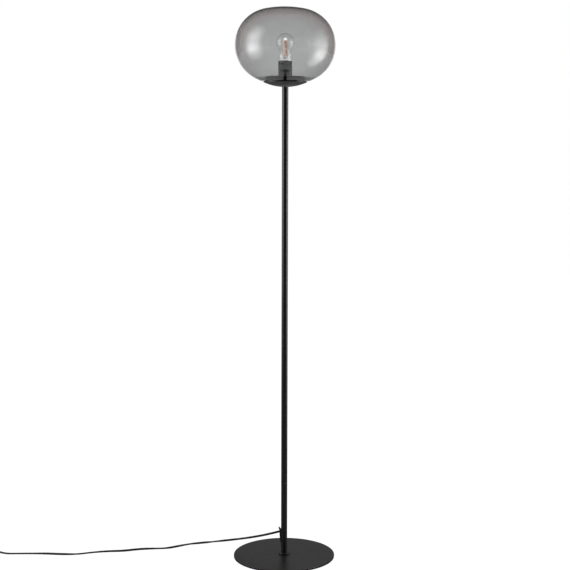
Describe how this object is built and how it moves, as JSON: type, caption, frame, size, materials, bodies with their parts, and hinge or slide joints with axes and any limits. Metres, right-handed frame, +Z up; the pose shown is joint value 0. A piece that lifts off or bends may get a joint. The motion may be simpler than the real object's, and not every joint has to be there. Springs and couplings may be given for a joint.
{
  "type": "floor lamp",
  "caption": "Floor lamp with a flattened smoked-glass globe on a slim black pole, a round steel base, a clear globe bulb and a cord with a foot switch and plug",
  "frame": {"origin": "centre of the base's underside, on the floor", "axes": "+Z up along the pole, the cord leaves the pole towards -X, +Y away from the picture's camera"},
  "size_m": [1.0603, 0.283, 1.3983],
  "materials": {
    "felt": "black felt",
    "base_paint": "dark grey powder coat, satin",
    "satin_black": "satin black lacquer",
    "zinc_steel": "zinc plated",
    "seal_rubber": "black, soft",
    "smoked_glass": "smoked grey, clear, polished",
    "holder_plastic": "black, fine texture",
    "white_ceramic": "white, unglazed",
    "brass": "bare",
    "bulb_glass": "clear, polished",
    "nickel": "nickel plated",
    "black_glass": "black vitrite",
    "phosphor": "amber silicone coat",
    "soft_black": "black, moulded, matt",
    "cord_black": "black sheath, satin",
    "switch_plastic": "black, satin",
    "module_plastic": "light grey",
    "plug_plastic": "black, moulded"
  },
  "bodies": {
    "lamp": {"base_pad": "felt", "base_plate": "base_paint", "base_screw": "zinc_steel", "foot_collar": "satin_black", "foot_plug": "zinc_steel", "lower_pole": "satin_black", "upper_pole": "satin_black", "pole_coupler": "zinc_steel", "pole_top_bush": "zinc_steel", "threaded_tube": "zinc_steel", "dish": "satin_black", "tube_nuts": "zinc_steel", "spacer_tube": "zinc_steel", "glass_seal": "seal_rubber", "glass_locator": "satin_black", "holder_base": "holder_plastic", "holder_core": "white_ceramic", "terminal_screws": "brass", "holder_shell": "holder_plastic", "screw_shell": "brass", "centre_contact": "brass", "cord_hood": "soft_black", "pole_cable": "cord_black", "cord_run": "cord_black", "cord_coil": "cord_black", "plug_lead": "cord_black", "switch_base": "switch_plastic", "switch_cover": "switch_plastic", "switch_module": "module_plastic", "plug_body": "plug_plastic", "plug_pins": "nickel", "pin_sleeves": "plug_plastic"},
    "glass": {"glass_globe": "smoked_glass"},
    "bulb": {"bulb_envelope": "bulb_glass", "bulb_cap": "nickel", "cap_insulator": "black_glass", "bulb_contact": "nickel", "bulb_stem": "bulb_glass", "filaments": "phosphor", "filament_bead": "white_ceramic"},
    "foot_button": {"switch_button": "switch_plastic"}
  },
  "joints": [
    {"name": "glass_lift", "type": "slide", "parent": "lamp", "child": "glass", "axis": [0, 0, 1], "range_m": [0, 0.16]},
    {"name": "bulb_turn", "type": "hinge", "parent": "lamp", "child": "bulb", "pos_m": [0, 0, 1.2667], "axis": [0, 0, 1], "range_deg": [0, 720]},
    {"name": "foot_button_press", "type": "slide", "parent": "lamp", "child": "foot_button", "axis": [0, 0, -1], "range_m": [0, 0.003], "stiffness_N_per_m": 1000}
  ]
}
